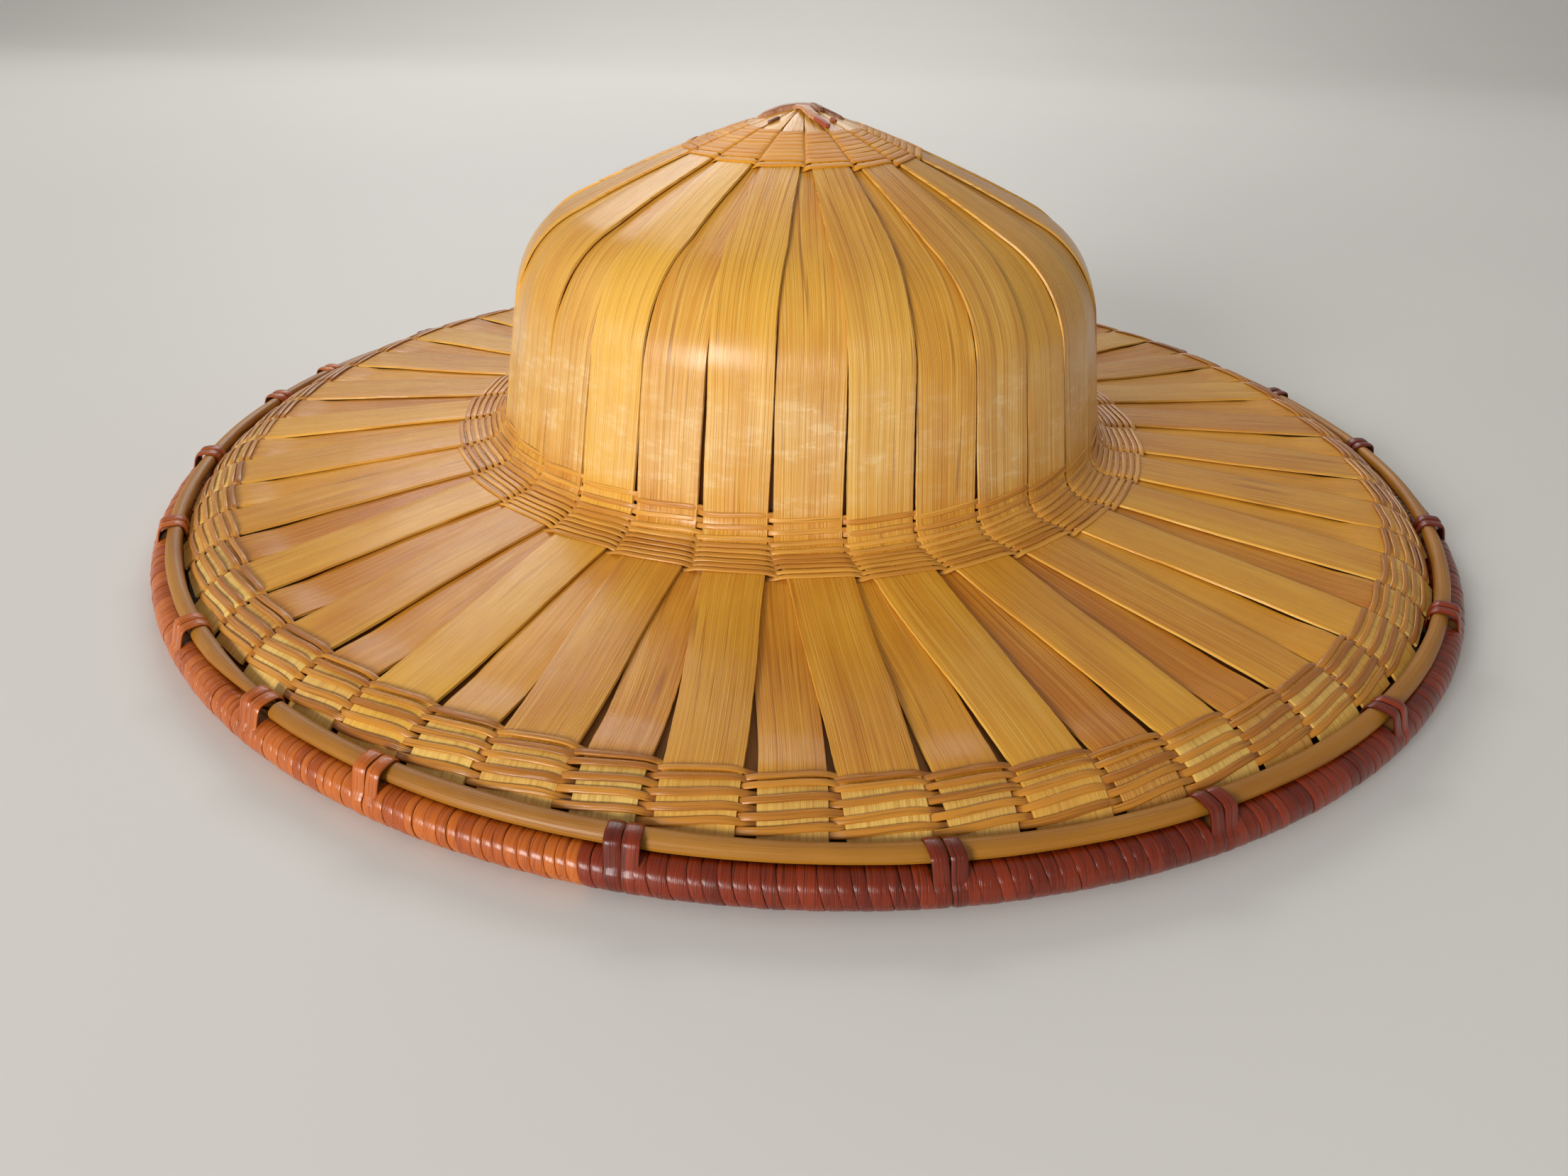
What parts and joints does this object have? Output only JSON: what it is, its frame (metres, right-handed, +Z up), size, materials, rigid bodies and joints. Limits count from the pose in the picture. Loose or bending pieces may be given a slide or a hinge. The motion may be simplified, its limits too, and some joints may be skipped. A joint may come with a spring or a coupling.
{
  "type": "woven_bamboo_hat",
  "caption": "Round-crowned bamboo strip hat with a low pointed tip, wide sloping brim, woven bands and a peel-wrapped rim",
  "frame": {"origin": "centre of the bottom of the bounding box: the crown axis meets the surface the rim rests on", "axes": "+Z up along the crown axis; the viewer stands on the -Y side, +X to their right; millimetres in the source, metres in the frame"},
  "size_m": [0.4, 0.4, 0.1162],
  "materials": {
    "bamboo_strip": "satin",
    "bamboo_strip_deep": "satin",
    "bamboo_inner": "matte",
    "weaver": "gloss",
    "hoop_bamboo": "satin",
    "peel_dark": "gloss",
    "peel_tan": "gloss"
  },
  "bodies": {
    "root": {"crown_strips_over": "bamboo_strip", "crown_strips_under": "bamboo_strip_deep", "crown_strips_inner": "bamboo_inner", "brim_strips_over": "bamboo_strip", "brim_strips_under": "bamboo_strip_deep", "brim_strips_inserted": "bamboo_inner", "brim_lining": "bamboo_strip_deep", "tip_weave_fine": "weaver", "tip_weave_edge": "weaver", "tip_tie_lower": "peel_dark", "tip_tie_upper": "peel_dark", "tip_loop": "peel_tan", "waist_row_1": "weaver", "waist_row_2": "weaver", "waist_row_3": "weaver", "waist_row_4": "weaver", "waist_row_5": "weaver", "waist_row_6": "weaver", "waist_row_7": "weaver", "waist_row_8": "weaver", "waist_row_9": "weaver", "edge_row_1": "weaver", "edge_row_2": "weaver", "edge_row_3": "weaver", "edge_row_4": "weaver", "edge_row_5": "weaver", "top_hoop": "hoop_bamboo", "top_hoop_splice": "hoop_bamboo", "lower_hoop": "hoop_bamboo", "hoop_core": "bamboo_inner", "wrap_dark": "peel_dark", "wrap_tan": "peel_tan", "lashings_dark": "peel_dark", "lashings_tan": "peel_tan"}
  },
  "joints": []
}
